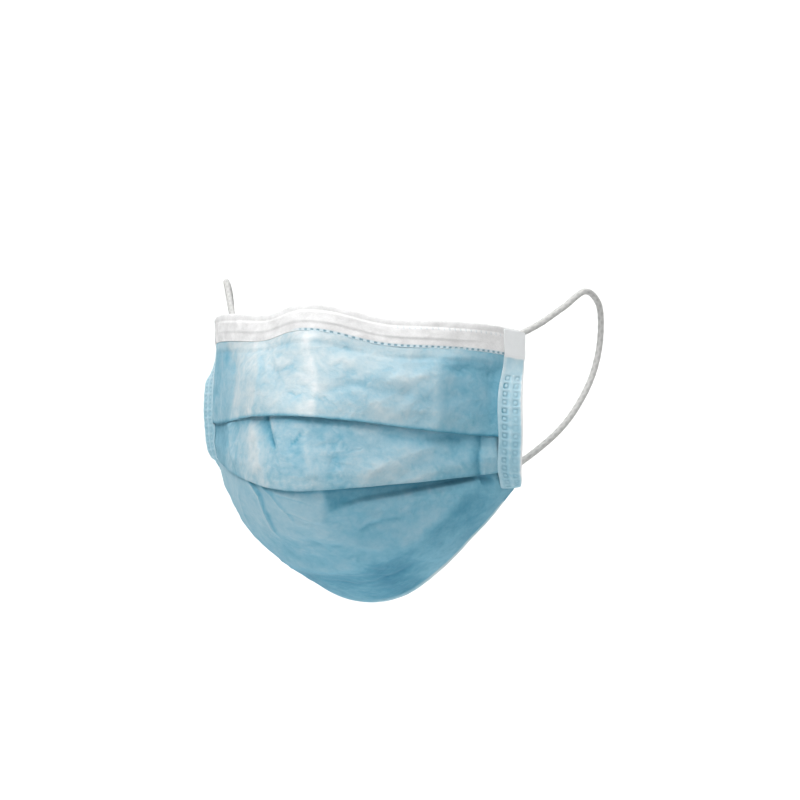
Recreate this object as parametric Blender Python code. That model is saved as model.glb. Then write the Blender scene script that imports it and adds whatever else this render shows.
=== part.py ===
"""Surgical face mask, drawn in the shape that it has when it is worn.

The origin is the nose bridge, the middle of the top edge. The wearer faces -Y, the wearer's left is +X
and +Z is up. A few lines across the mask, from the top edge down to the hem, carry one smooth outer
surface. Every piece is a sheet on or under that surface: the body with its two pleats, the white binding
over the top edge and the two bindings over the side edges. The ear loops are round cords.
"""

import math
from collections import namedtuple

import bpy
from mathutils import Vector

# The cloth, in metres
WALL = 0.0010    # every layer of cloth
GAP = 0.0003     # between faces that touch on the real mask
PITCH = WALL + GAP    # from the middle of one layer to the middle of the next

# The size of the worn mask
HALF_SPAN = 0.0617    # from the middle out to a side edge, at the top
DEPTH = 0.0542    # from the nose bridge back to the side edges
DROP = 0.1165    # from the nose bridge down to the middle of the hem

# The nose bridge, where a hidden wire bends the top edge up and forward
NOSE_RISE = 0.0066
NOSE_OUT = 0.0090
NOSE_REACH = 0.21    # as a share of the way from the middle to the side edge

# The bindings
TOP_BINDING_HEIGHT = 0.0096
SIDE_BINDING_WIDTH = 0.0110
SIDE_BINDING_BULGE = 0.0015    # how far its round outer edge stands out from its flat part

# The pleats: how far the cloth is folded back on itself, in the middle and at the side edges
PLEAT_DEPTH = {"upper": (0.0060, 0.0080), "lower": (0.0060, 0.0040)}

# The ear loops
CORD_DIAMETER = 0.0024

# How finely the sheets are divided
COLUMNS = 30
TURN_STEPS = 3
STRIP_ROWS = 14

# Each line runs from the middle of the mask to its left side edge.
# middle_back, side_back: shares of DEPTH, how far the ends lie behind the nose bridge
# side_out, askew, middle_pull, side_pull: shares of HALF_SPAN; the pulls are the line's two handles
# side_turn: how far the line has turned back at the side edge, in degrees
# nose: how much of the nose bridge's bend the line takes
# drops: shares of DROP below the nose bridge, at the middle, at each quarter and at the side edge
Line = namedtuple(
    "Line", "middle_back side_out side_back side_turn middle_pull side_pull askew nose drops"
)
LINES = {
    "top": Line(0.166, 1.000, 1.000, 78, 0.40, 0.42, 0.030, 1.0, (0.057, 0.054, 0.056, 0.072, 0.106)),
    "under_top": Line(0.068, 1.000, 1.000, 76, 0.40, 0.42, 0.025, 0.8, (0.134, 0.141, 0.145, 0.164, 0.204)),
    "cheek": Line(-0.166, 1.028, 0.900, 54, 0.38, 0.36, 0.020, 0.0, (0.215, 0.224, 0.242, 0.264, 0.288)),
    "upper_fold": Line(-0.260, 1.034, 0.878, 50, 0.36, 0.32, 0.015, 0.0, (0.331, 0.348, 0.380, 0.410, 0.430)),
    "lower_fold": Line(-0.314, 1.014, 0.923, 52, 0.41, 0.32, 0.010, 0.0, (0.554, 0.546, 0.541, 0.538, 0.536)),
    "belly": Line(0.120, 0.992, 0.980, 56, 0.47, 0.40, 0.030, 0.0, (0.797, 0.783, 0.735, 0.662, 0.557)),
    "hem": Line(0.766, 0.971, 1.031, 25, 0.36, 0.36, 0.070, 0.0, (0.985, 0.958, 0.871, 0.742, 0.582)),
}

# The left ear loop, from inside the top corner out and back, then down to inside the bottom corner
LOOP_ROUTE = [
    (0.0532, 0.0470, -0.0146),
    (0.0548, 0.0540, -0.0152),
    (0.0571, 0.0600, -0.0138),
    (0.0622, 0.0670, -0.0105),
    (0.0685, 0.0770, -0.0046),
    (0.0745, 0.0870, 0.0010),
    (0.0765, 0.0940, -0.0035),
    (0.0768, 0.0965, -0.0160),
    (0.0755, 0.0930, -0.0290),
    (0.0728, 0.0850, -0.0400),
    (0.0690, 0.0750, -0.0490),
    (0.0630, 0.0650, -0.0565),
    (0.0568, 0.0582, -0.0620),
    (0.0530, 0.0515, -0.0652),
]

# sRGB colours with roughness
FINISHES = {
    "blue_cloth": ((0.53, 0.73, 0.80), 0.85),
    "white_cloth": ((0.90, 0.91, 0.92), 0.85),
    "pale_cloth": ((0.74, 0.85, 0.90), 0.80),
    "elastic": ((0.92, 0.92, 0.92), 0.75),
}


def clear_scene():
    for item in list(bpy.data.objects):
        bpy.data.objects.remove(item, do_unlink=True)


def finish(name):
    """Return the named material, made on its first use."""
    if name in bpy.data.materials:
        return bpy.data.materials[name]
    (red, green, blue), roughness = FINISHES[name]
    material = bpy.data.materials.new(name)
    material.use_nodes = True
    shader = material.node_tree.nodes["Principled BSDF"]
    linear = [channel ** 2.2 for channel in (red, green, blue)]
    shader.inputs["Base Color"].default_value = (*linear, 1.0)
    shader.inputs["Roughness"].default_value = roughness
    shader.inputs["Metallic"].default_value = 0.0
    material.diffuse_color = (*linear, 1.0)
    return material


def smooth_run(knots, values, where):
    """Read a smooth curve through values (numbers or vectors) that are set at the rising knots."""
    last = len(knots) - 2
    index = 0
    while index < last and where > knots[index + 1]:
        index += 1

    def slope(i):
        return (values[i + 1] - values[i]) * (1.0 / (knots[i + 1] - knots[i]))

    def tangent(i):
        if i == 0:
            return slope(0)
        if i == last + 1:
            return slope(last)
        before = knots[i] - knots[i - 1]
        after = knots[i + 1] - knots[i]
        return (slope(i - 1) * after + slope(i) * before) * (1.0 / (before + after))

    step = knots[index + 1] - knots[index]
    f = (where - knots[index]) / step
    return (
        values[index] * (2 * f ** 3 - 3 * f ** 2 + 1)
        + tangent(index) * (step * (f ** 3 - 2 * f ** 2 + f))
        + values[index + 1] * (3 * f ** 2 - 2 * f ** 3)
        + tangent(index + 1) * (step * (f ** 3 - f ** 2))
    )


def plan_curve(line, steps=120):
    """Trace a line seen from above, and note the length walked to each point."""
    back = line.middle_back * DEPTH
    turn = math.radians(line.side_turn)
    start = Vector((0.0, back))
    end = Vector((line.side_out * HALF_SPAN, line.side_back * DEPTH))
    first = start + Vector((line.middle_pull * HALF_SPAN, 0.0))
    second = end - line.side_pull * HALF_SPAN * Vector((math.cos(turn), math.sin(turn)))
    points = []
    for step in range(steps + 1):
        f = step / steps
        points.append(
            (1 - f) ** 3 * start + 3 * (1 - f) ** 2 * f * first + 3 * (1 - f) * f * f * second + f ** 3 * end
        )
    walked = [0.0]
    for before, after in zip(points, points[1:]):
        walked.append(walked[-1] + (after - before).length)
    return points, walked


PLANS = {name: plan_curve(line) for name, line in LINES.items()}


def line_point(name, across):
    """A point on a line; across runs from -1 at the right side edge to 1 at the left one."""
    line = LINES[name]
    points, walked = PLANS[name]
    share = abs(across)
    target = share * walked[-1]
    index = 0
    while index < len(walked) - 2 and walked[index + 1] < target:
        index += 1
    f = (target - walked[index]) / (walked[index + 1] - walked[index])
    place = points[index].lerp(points[index + 1], f) if f <= 1 else (
        points[index + 1] + (f - 1) * (points[index + 1] - points[index])
    )
    quarters = [-0.25, 0.0, 0.25, 0.5, 0.75, 1.0]
    drops = [line.drops[1], *line.drops]
    drop = smooth_run(quarters, drops, share) * DROP
    x = math.copysign(place.x, across) + line.askew * HALF_SPAN * (1 - share * share) ** 2
    y = place.y
    z = -drop
    bend = line.nose * math.exp(-((share / NOSE_REACH) ** 2.3))
    return Vector((x, y - NOSE_OUT * bend, z + NOSE_RISE * bend))


class Profile:
    """The outer surface cut from top to bottom at one place across the mask."""

    SAMPLES = 24

    def __init__(self, across):
        self.across = across
        anchors = [line_point(name, across) for name in LINES]
        knots = [0.0]
        for before, after in zip(anchors, anchors[1:]):
            knots.append(knots[-1] + (after - before).length)
        self.points = []
        self.walked = [0.0]
        self.line_at = {}
        for number, name in enumerate(LINES):
            if number:
                for step in range(1, self.SAMPLES + 1):
                    where = knots[number - 1] + (knots[number] - knots[number - 1]) * step / self.SAMPLES
                    point = smooth_run(knots, anchors, where)
                    self.walked.append(self.walked[-1] + (point - self.points[-1]).length)
                    self.points.append(point)
            else:
                self.points.append(anchors[0])
            self.line_at[name] = self.walked[-1]

    def at(self, distance):
        """The point at a distance walked down from the top edge."""
        index = 0
        while index < len(self.walked) - 2 and self.walked[index + 1] < distance:
            index += 1
        f = (distance - self.walked[index]) / (self.walked[index + 1] - self.walked[index])
        return self.points[index] + f * (self.points[index + 1] - self.points[index])


PROFILES = {}


def profile(across):
    key = round(across, 6)
    if key not in PROFILES:
        PROFILES[key] = Profile(across)
    return PROFILES[key]


def on_mask(across, distance, layer):
    """The middle of a layer of cloth: layer 0 lies on the outer surface and higher ones behind it."""
    here = profile(across)
    down = here.at(distance + 0.001) - here.at(distance - 0.001)
    share = distance / here.line_at["hem"]
    nudge = 0.01
    low = profile(across - nudge)
    high = profile(across + nudge)
    side = high.at(share * high.line_at["hem"]) - low.at(share * low.line_at["hem"])
    outward = side.cross(-down).normalized()
    return here.at(distance) - outward * layer * PITCH


def straight(first, last, pieces):
    """Even steps from one (distance, layer) place to another, without the first."""
    return [
        tuple(a + (b - a) * step / pieces for a, b in zip(first, last))
        for step in range(1, pieces + 1)
    ]


def fold(distance, layer, way):
    """The half circle that takes the cloth to the next layer; way is 1 where it bulges down, -1 up."""
    radius = PITCH / 2
    steps = []
    for step in range(TURN_STEPS + 1):
        angle = math.pi * step / TURN_STEPS
        steps.append((distance + way * radius * math.sin(angle), layer + (1 - math.cos(angle)) / 2))
    return steps


def pleat(start, line, depth, pieces):
    """Cloth that runs down to a fold line, back up behind itself and down again as the third layer."""
    radius = PITCH / 2
    bottom = line - radius
    top = bottom - depth
    return (
        straight(start, (top, 0), pieces)
        + straight((top, 0), (bottom, 0), 2)[:1]
        + fold(bottom, 0, 1)
        + fold(top, 1, -1)
        + straight((top, 2), (line + WALL, 2), 2)
    )


def body_column(across):
    """The folded cloth of the body at one place across, as (distance, layer) places from top to hem."""
    here = profile(across)
    share = abs(across)
    upper = here.line_at["upper_fold"]
    lower = here.line_at["lower_fold"]
    hem = here.line_at["hem"]
    upper_depth, lower_depth = (
        middle + (side - middle) * share for middle, side in (PLEAT_DEPTH["upper"], PLEAT_DEPTH["lower"])
    )
    binding = TOP_BINDING_HEIGHT
    path = [(PITCH, 1)]
    path += straight((PITCH, 1), (binding + GAP, 1), 2)
    path += straight((binding + GAP, 1), (binding + 4 * PITCH, 0), 1)
    path += pleat(path[-1], upper, upper_depth, 3)
    path += pleat(path[-1], lower, lower_depth, 3)
    path += straight((lower + WALL, 2), (lower + (hem - lower) * 0.4, 1), 3)
    path += straight((lower + (hem - lower) * 0.4, 1), (hem - WALL / 2, 1), 5)
    return path


def top_binding_column(across):
    """The binding that wraps the top edge: down the front, over the edge and down the inside."""
    path = straight((TOP_BINDING_HEIGHT - WALL / 2, 0), (PITCH, 0), 2)
    path.insert(0, (TOP_BINDING_HEIGHT - WALL / 2, 0))
    for step in range(1, 4):
        angle = math.pi * step / 4
        path.append((PITCH - PITCH * math.sin(angle), 1 - math.cos(angle)))
    path.append((PITCH, 2))
    path += straight((PITCH, 2), (TOP_BINDING_HEIGHT - WALL / 2, 2), 2)
    return path


def sheet(name, rows, material):
    """A piece of cloth: a grid of points given a wall, half of it on each side."""
    mesh = bpy.data.meshes.new(name)
    width = len(rows[0])
    faces = []
    for row in range(len(rows) - 1):
        for column in range(width - 1):
            corner = row * width + column
            faces.append((corner, corner + 1, corner + width + 1, corner + width))
    mesh.from_pydata([point for row in rows for point in row], [], faces)
    mesh.update()
    piece = bpy.data.objects.new(name, mesh)
    bpy.context.collection.objects.link(piece)
    mesh.materials.append(finish(material))
    wall = piece.modifiers.new("wall", "SOLIDIFY")
    wall.thickness = WALL
    wall.offset = 0.0
    wall.use_even_offset = True
    wall.use_quality_normals = True
    return piece


def share_in(width, distance):
    """The across value of a place a given width in from the side edge."""
    reach = 0.1
    length = (profile(1.0).at(distance) - profile(1.0 - reach).at(distance)).length / reach
    return 1.0 - width / length


def make_body():
    reach = share_in(SIDE_BINDING_BULGE + WALL + GAP, TOP_BINDING_HEIGHT)
    rows = []
    for column in range(COLUMNS + 1):
        across = reach * (2 * column / COLUMNS - 1)
        rows.append([on_mask(across, *place) for place in body_column(across)])
    return sheet("mask_body", rows, "blue_cloth")


def make_top_binding():
    reach = share_in(SIDE_BINDING_BULGE + WALL + GAP, TOP_BINDING_HEIGHT)
    rows = []
    for column in range(COLUMNS + 1):
        across = reach * (2 * column / COLUMNS - 1)
        rows.append([on_mask(across, *place) for place in top_binding_column(across)])
    return sheet("top_binding", rows, "white_cloth")


def side_binding_section():
    """Places (width in from the side edge, layer) round the channel that wraps a side edge."""
    flat = SIDE_BINDING_BULGE + WALL / 2
    wide = SIDE_BINDING_WIDTH - WALL / 2
    section = [(wide, -1), ((wide + flat) / 2, -1), (flat, -1)]
    for step in range(1, 4):
        angle = math.pi * step / 4
        section.append((flat - SIDE_BINDING_BULGE * math.sin(angle), 1 - 2 * math.cos(angle)))
    section += [(flat, 3), ((wide + flat) / 2, 3), (wide, 3)]
    return section


def make_side_binding(name, side):
    long = profile(1.0).line_at["hem"] + WALL / 2
    rows = []
    for row in range(STRIP_ROWS + 1):
        distance = long * row / STRIP_ROWS
        rows.append([
            on_mask(side * share_in(width, distance), distance, layer)
            for width, layer in side_binding_section()
        ])
    return sheet(name, rows, "pale_cloth")


def make_ear_loop(name, side):
    """A round elastic cord along a smooth route."""
    route = [Vector((side * x, y, z)) for x, y, z in LOOP_ROUTE]
    knots = [0.0]
    for before, after in zip(route, route[1:]):
        knots.append(knots[-1] + (after - before).length)
    pieces = round(knots[-1] / (2.0 * CORD_DIAMETER))
    curve = bpy.data.curves.new(name, "CURVE")
    curve.dimensions = "3D"
    spline = curve.splines.new("POLY")
    spline.points.add(pieces)
    for number, point in enumerate(spline.points):
        point.co = (*smooth_run(knots, route, knots[-1] * number / pieces), 1.0)
    curve.bevel_depth = CORD_DIAMETER / 2
    curve.bevel_resolution = 2
    curve.use_fill_caps = True
    curve.materials.append(finish("elastic"))
    cord = bpy.data.objects.new(name, curve)
    bpy.context.collection.objects.link(cord)
    return cord


def main():
    clear_scene()
    make_body()
    make_top_binding()
    for word, side in (("left", 1), ("right", -1)):
        make_side_binding(f"side_binding_{word}", side)
        make_ear_loop(f"ear_loop_{word}", side)


main()
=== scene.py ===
"""Looks of a worn surgical face mask: pleated cloth, top binding, embossed side bindings and ear loops.

Everything is in metres in the model's frame. The origin is the nose bridge, the wearer faces -Y, the wearer's
left is +X and +Z is up. The cloth surface is the model's own: a few lines across the mask carry it, and each
piece is a grid of (distance from the top edge, height over that surface) at places across the mask.
"""

import math
from collections import namedtuple

import bpy
import numpy as np
from mathutils import Matrix, Vector


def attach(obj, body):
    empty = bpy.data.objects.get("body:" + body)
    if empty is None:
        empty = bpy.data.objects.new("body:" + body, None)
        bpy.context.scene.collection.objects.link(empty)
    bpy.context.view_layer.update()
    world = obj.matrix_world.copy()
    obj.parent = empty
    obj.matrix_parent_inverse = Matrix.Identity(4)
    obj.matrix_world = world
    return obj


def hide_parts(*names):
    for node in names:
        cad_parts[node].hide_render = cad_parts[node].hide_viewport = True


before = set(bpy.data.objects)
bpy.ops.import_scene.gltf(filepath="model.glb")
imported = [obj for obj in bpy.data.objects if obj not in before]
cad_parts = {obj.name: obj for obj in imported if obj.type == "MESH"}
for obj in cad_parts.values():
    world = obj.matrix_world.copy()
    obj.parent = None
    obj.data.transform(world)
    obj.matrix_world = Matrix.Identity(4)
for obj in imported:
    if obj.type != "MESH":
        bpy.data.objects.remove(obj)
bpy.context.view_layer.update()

MM = 0.001
SIDES = (("left", 1), ("right", -1))

# How the mask is looked at: degrees round to the wearer's left and up from the front, and metres away
VIEW_TURN = 22.5
VIEW_RISE = 6.0
VIEW_DISTANCE = 1.0
PIXEL = 0.000354    # metres a pixel at the nose bridge
PICTURE = 800
NOSE_SEEN = (92, 96)    # how far to the left of the picture's middle and over it the nose bridge shows

# Sizes of the mask, as in the model
HALF_SPAN = 0.0617
DEPTH = 0.0542
DROP = 0.1165
NOSE_RISE = 0.0066
NOSE_OUT = 0.0090
NOSE_REACH = 0.21
BAND = 0.0096    # height of the top binding
STRIP = 0.0110    # width of a side binding
CORD_DIAMETER = 0.0024
PLEAT_DEPTH = {"upper": (0.0060, 0.0080), "lower": (0.0060, 0.0040)}

# Layers of cloth as they are here
PLY = 0.35 * MM
BAND_PLY = 0.22 * MM
STRIP_PLY = 0.2 * MM
CLOTH_REACH = 0.966    # how far across the body and the top binding go, inside the side bindings

Line = namedtuple(
    "Line", "middle_back side_out side_back side_turn middle_pull side_pull askew nose drops"
)
LINES = {
    "top": Line(0.166, 1.000, 1.000, 78, 0.40, 0.42, 0.030, 1.0, (0.057, 0.054, 0.056, 0.072, 0.106)),
    "under_top": Line(0.068, 1.000, 1.000, 76, 0.40, 0.42, 0.025, 0.8, (0.134, 0.141, 0.145, 0.164, 0.204)),
    "cheek": Line(-0.166, 1.028, 0.900, 54, 0.38, 0.36, 0.020, 0.0, (0.215, 0.224, 0.242, 0.264, 0.288)),
    "upper_fold": Line(-0.260, 1.034, 0.878, 50, 0.36, 0.32, 0.015, 0.0, (0.331, 0.348, 0.380, 0.410, 0.430)),
    "lower_fold": Line(-0.314, 1.014, 0.923, 52, 0.41, 0.32, 0.010, 0.0, (0.554, 0.546, 0.541, 0.538, 0.536)),
    "belly": Line(0.120, 0.992, 0.980, 56, 0.47, 0.40, 0.030, 0.0, (0.797, 0.783, 0.735, 0.662, 0.557)),
    "hem": Line(0.766, 0.971, 1.031, 25, 0.36, 0.36, 0.070, 0.0, (0.985, 0.958, 0.871, 0.742, 0.582)),
}

LOOP_ROUTE = [
    (0.0532, 0.0470, -0.0146),
    (0.0548, 0.0540, -0.0152),
    (0.0571, 0.0600, -0.0138),
    (0.0622, 0.0670, -0.0105),
    (0.0685, 0.0770, -0.0046),
    (0.0745, 0.0870, 0.0010),
    (0.0765, 0.0940, -0.0035),
    (0.0768, 0.0965, -0.0160),
    (0.0755, 0.0930, -0.0290),
    (0.0728, 0.0850, -0.0400),
    (0.0690, 0.0750, -0.0490),
    (0.0630, 0.0650, -0.0565),
    (0.0568, 0.0582, -0.0620),
    (0.0530, 0.0515, -0.0652),
]


def direction(turn, rise):
    """The way out from the front of the mask, turn degrees round to the wearer's left and rise degrees up."""
    turn = math.radians(turn)
    rise = math.radians(rise)
    return Vector((math.sin(turn) * math.cos(rise), -math.cos(turn) * math.cos(rise), math.sin(rise)))


def make_camera():
    """Stand where the photograph was taken, with the nose bridge where it shows there."""
    back = direction(VIEW_TURN, VIEW_RISE)
    turn = math.radians(VIEW_TURN)
    right = Vector((math.cos(turn), math.sin(turn), 0.0))
    up = back.cross(right)
    place = back * VIEW_DISTANCE + right * (NOSE_SEEN[0] * PIXEL) - up * (NOSE_SEEN[1] * PIXEL)
    sensor = 36.0
    data = bpy.data.cameras.new("camera")
    data.sensor_fit = "HORIZONTAL"
    data.sensor_width = sensor
    data.lens = sensor * VIEW_DISTANCE / (PICTURE * PIXEL)
    camera = bpy.data.objects.new("camera", data)
    camera.matrix_world = Matrix((
        (right.x, up.x, back.x, place.x),
        (right.y, up.y, back.y, place.y),
        (right.z, up.z, back.z, place.z),
        (0.0, 0.0, 0.0, 1.0),
    ))
    bpy.context.scene.collection.objects.link(camera)
    bpy.context.scene.camera = camera


def smooth_run(knots, values, where):
    """Read smooth curves, one a column, through values (knot, column, part) set at the rising knots."""
    step = np.diff(knots, axis=0)
    slope = np.diff(values, axis=0) / step[..., None]
    lean = np.empty_like(values)
    lean[0] = slope[0]
    lean[-1] = slope[-1]
    before = step[:-1, :, None]
    after = step[1:, :, None]
    lean[1:-1] = (slope[:-1] * after + slope[1:] * before) / (before + after)
    index = (where[None] > knots[1:-1, None]).sum(axis=0)
    column = np.arange(where.shape[1])[None, :]
    size = step[index, column]
    f = ((where - knots[index, column]) / size)[..., None]
    size = size[..., None]
    return (
        values[index, column] * (2 * f ** 3 - 3 * f ** 2 + 1)
        + lean[index, column] * size * (f ** 3 - 2 * f ** 2 + f)
        + values[index + 1, column] * (3 * f ** 2 - 2 * f ** 3)
        + lean[index + 1, column] * size * (f ** 3 - f ** 2)
    )


def walk(points):
    """How far along a broken line its points lie; they follow one another on the first axis."""
    gaps = np.linalg.norm(np.diff(points, axis=0), axis=-1)
    return np.concatenate([np.zeros_like(gaps[:1]), np.cumsum(gaps, axis=0)])


def line_points(line, across):
    """Points on a line; across runs from -1 at the right side edge to 1 at the left one."""
    turn = math.radians(line.side_turn)
    start = np.array([0.0, line.middle_back * DEPTH])
    end = np.array([line.side_out * HALF_SPAN, line.side_back * DEPTH])
    first = start + [line.middle_pull * HALF_SPAN, 0.0]
    second = end - line.side_pull * HALF_SPAN * np.array([math.cos(turn), math.sin(turn)])

    def bezier(t):
        t = t[:, None]
        begun = (1 - t) ** 3 * start + 3 * (1 - t) ** 2 * t * first
        return begun + 3 * (1 - t) * t * t * second + t ** 3 * end

    steps = np.linspace(0, 1, 400)
    traced = bezier(steps)
    walked = walk(traced)
    share = np.abs(across)
    t = np.interp(share * walked[-1], walked, steps)
    t = t + np.maximum(share - 1, 0) * walked[-1] * (steps[-1] - steps[-2]) / (walked[-1] - walked[-2])
    place = bezier(t)
    knots = np.array([-0.25, 0.0, 0.25, 0.5, 0.75, 1.0])[:, None]
    drops = np.array([line.drops[1], *line.drops])[:, None, None]
    drop = smooth_run(knots, drops, share[:, None])[:, 0, 0] * DROP
    x = np.sign(across) * place[:, 0] + line.askew * HALF_SPAN * (1 - np.minimum(share, 1) ** 2) ** 2
    bend = line.nose * np.exp(-((share / NOSE_REACH) ** 2.3))
    return np.stack([x, place[:, 1] - NOSE_OUT * bend, NOSE_RISE * bend - drop], axis=1)


class Cuts:
    """The mask's surface cut from top to bottom at each of several places across it."""

    def __init__(self, across):
        per_gap = 24
        self.anchors = np.stack([line_points(line, across) for line in LINES.values()])
        self.knots = walk(self.anchors)
        shares = np.linspace(0, 1, per_gap, endpoint=False)[:, None]
        pieces = [a + (b - a) * shares for a, b in zip(self.knots, self.knots[1:])]
        self.where = np.concatenate([*pieces, self.knots[-1:]])
        self.walked = walk(smooth_run(self.knots, self.anchors, self.where))
        self.line_at = {name: self.walked[per_gap * number] for number, name in enumerate(LINES)}

    def at(self, distance):
        """The points at distances (row, column) walked down from the top edge."""
        where = np.empty_like(distance)
        for column in range(distance.shape[1]):
            where[:, column] = np.interp(distance[:, column], self.walked[:, column], self.where[:, column])
        below = np.minimum(distance, 0)
        beyond = np.maximum(distance - self.walked[-1], 0)
        return smooth_run(self.knots, self.anchors, where + below + beyond)


class Surface:
    """Places on, over and under the mask's surface, for a grid with one across value a column."""

    def __init__(self, across):
        aside = 0.01
        self.middle = Cuts(across)
        self.low = Cuts(across - aside)
        self.high = Cuts(across + aside)
        self.line_at = self.middle.line_at

    def lift(self, distance, height):
        """Points at distances (row, column) from the top edge and heights out from the surface."""
        share = distance / self.line_at["hem"]
        side = self.high.at(share * self.high.line_at["hem"]) - self.low.at(share * self.low.line_at["hem"])
        down = self.middle.at(distance + MM) - self.middle.at(distance - MM)
        outward = np.cross(side, -down)
        outward /= np.linalg.norm(outward, axis=2, keepdims=True)
        return self.middle.at(distance) + outward * height[..., None]


def ease(x, low=0.0, high=1.0):
    """A soft step that is 0 up to low and 1 from high on."""
    f = np.clip((x - low) / (high - low), 0, 1)
    return f * f * (3 - 2 * f)


def hill(x, middle, width, power=2):
    """A hump that is 1 at its middle and falls away over width on both sides."""
    return np.exp(-np.abs((x - middle) / width) ** power)


def cloud(u, v, seed):
    """Smooth noise from about -1 to 1, with a hill or hollow every unit or so."""
    cells = 64
    angle = np.random.default_rng(seed).uniform(0, 2 * math.pi, (cells, cells))
    east = np.cos(angle)
    north = np.sin(angle)
    left = np.floor(u).astype(int)
    low = np.floor(v).astype(int)
    a = u - left
    b = v - low

    def corner(i, j):
        x = (left + i) % cells
        y = (low + j) % cells
        return east[x, y] * (a - i) + north[x, y] * (b - j)

    fade_a = a ** 3 * (a * (6 * a - 15) + 10)
    fade_b = b ** 3 * (b * (6 * b - 15) + 10)
    bottom = corner(0, 0) * (1 - fade_a) + corner(1, 0) * fade_a
    top = corner(0, 1) * (1 - fade_a) + corner(1, 1) * fade_a
    return 1.5 * (bottom * (1 - fade_b) + top * fade_b)


def crumple(x, y, size, seed):
    """Noise with sharp ridges, as in paper or thin cloth that was crushed; x, y and size in metres."""
    warp_x = 0.35 * cloud(x / size / 2, y / size / 2, seed + 50)
    warp_y = 0.35 * cloud(x / size / 2, y / size / 2, seed + 51)
    first = 1 - 2 * np.abs(cloud(x / size + warp_x, y / size + warp_y, seed))
    second = 1 - 2 * np.abs(cloud(0.8 * x / size + warp_y, 1.1 * y / size + warp_x + 9, seed + 1))
    return np.minimum(first, second)


def beside(x, y, points):
    """How far places lie beside a broken line, positive to its right as one walks, and how far along it."""
    best = np.full(x.shape, 1e9)
    offset = np.zeros(x.shape)
    along = np.zeros(x.shape)
    points = np.array(points, float)
    lengths = np.linalg.norm(np.diff(points, axis=0), axis=1)
    begin = walk(points)
    for number, (start, end) in enumerate(zip(points, points[1:])):
        way = (end - start) / lengths[number]
        reach = (x - start[0]) * way[0] + (y - start[1]) * way[1]
        near = np.clip(reach, 0, lengths[number])
        gap = np.hypot(x - start[0] - near * way[0], y - start[1] - near * way[1])
        turned = way[0] * (y - start[1]) - way[1] * (x - start[0])
        closer = gap < best
        best = np.where(closer, gap, best)
        offset = np.where(closer, np.where(turned > 0, gap, -gap), offset)
        along = np.where(closer, (begin[number] + near) / begin[-1], along)
    return offset, along


# Width of the flat cloth that one unit of across stands for, the top binding's a little less
HALF_CLOTH = 0.088
HALF_BAND = 0.0845

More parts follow.
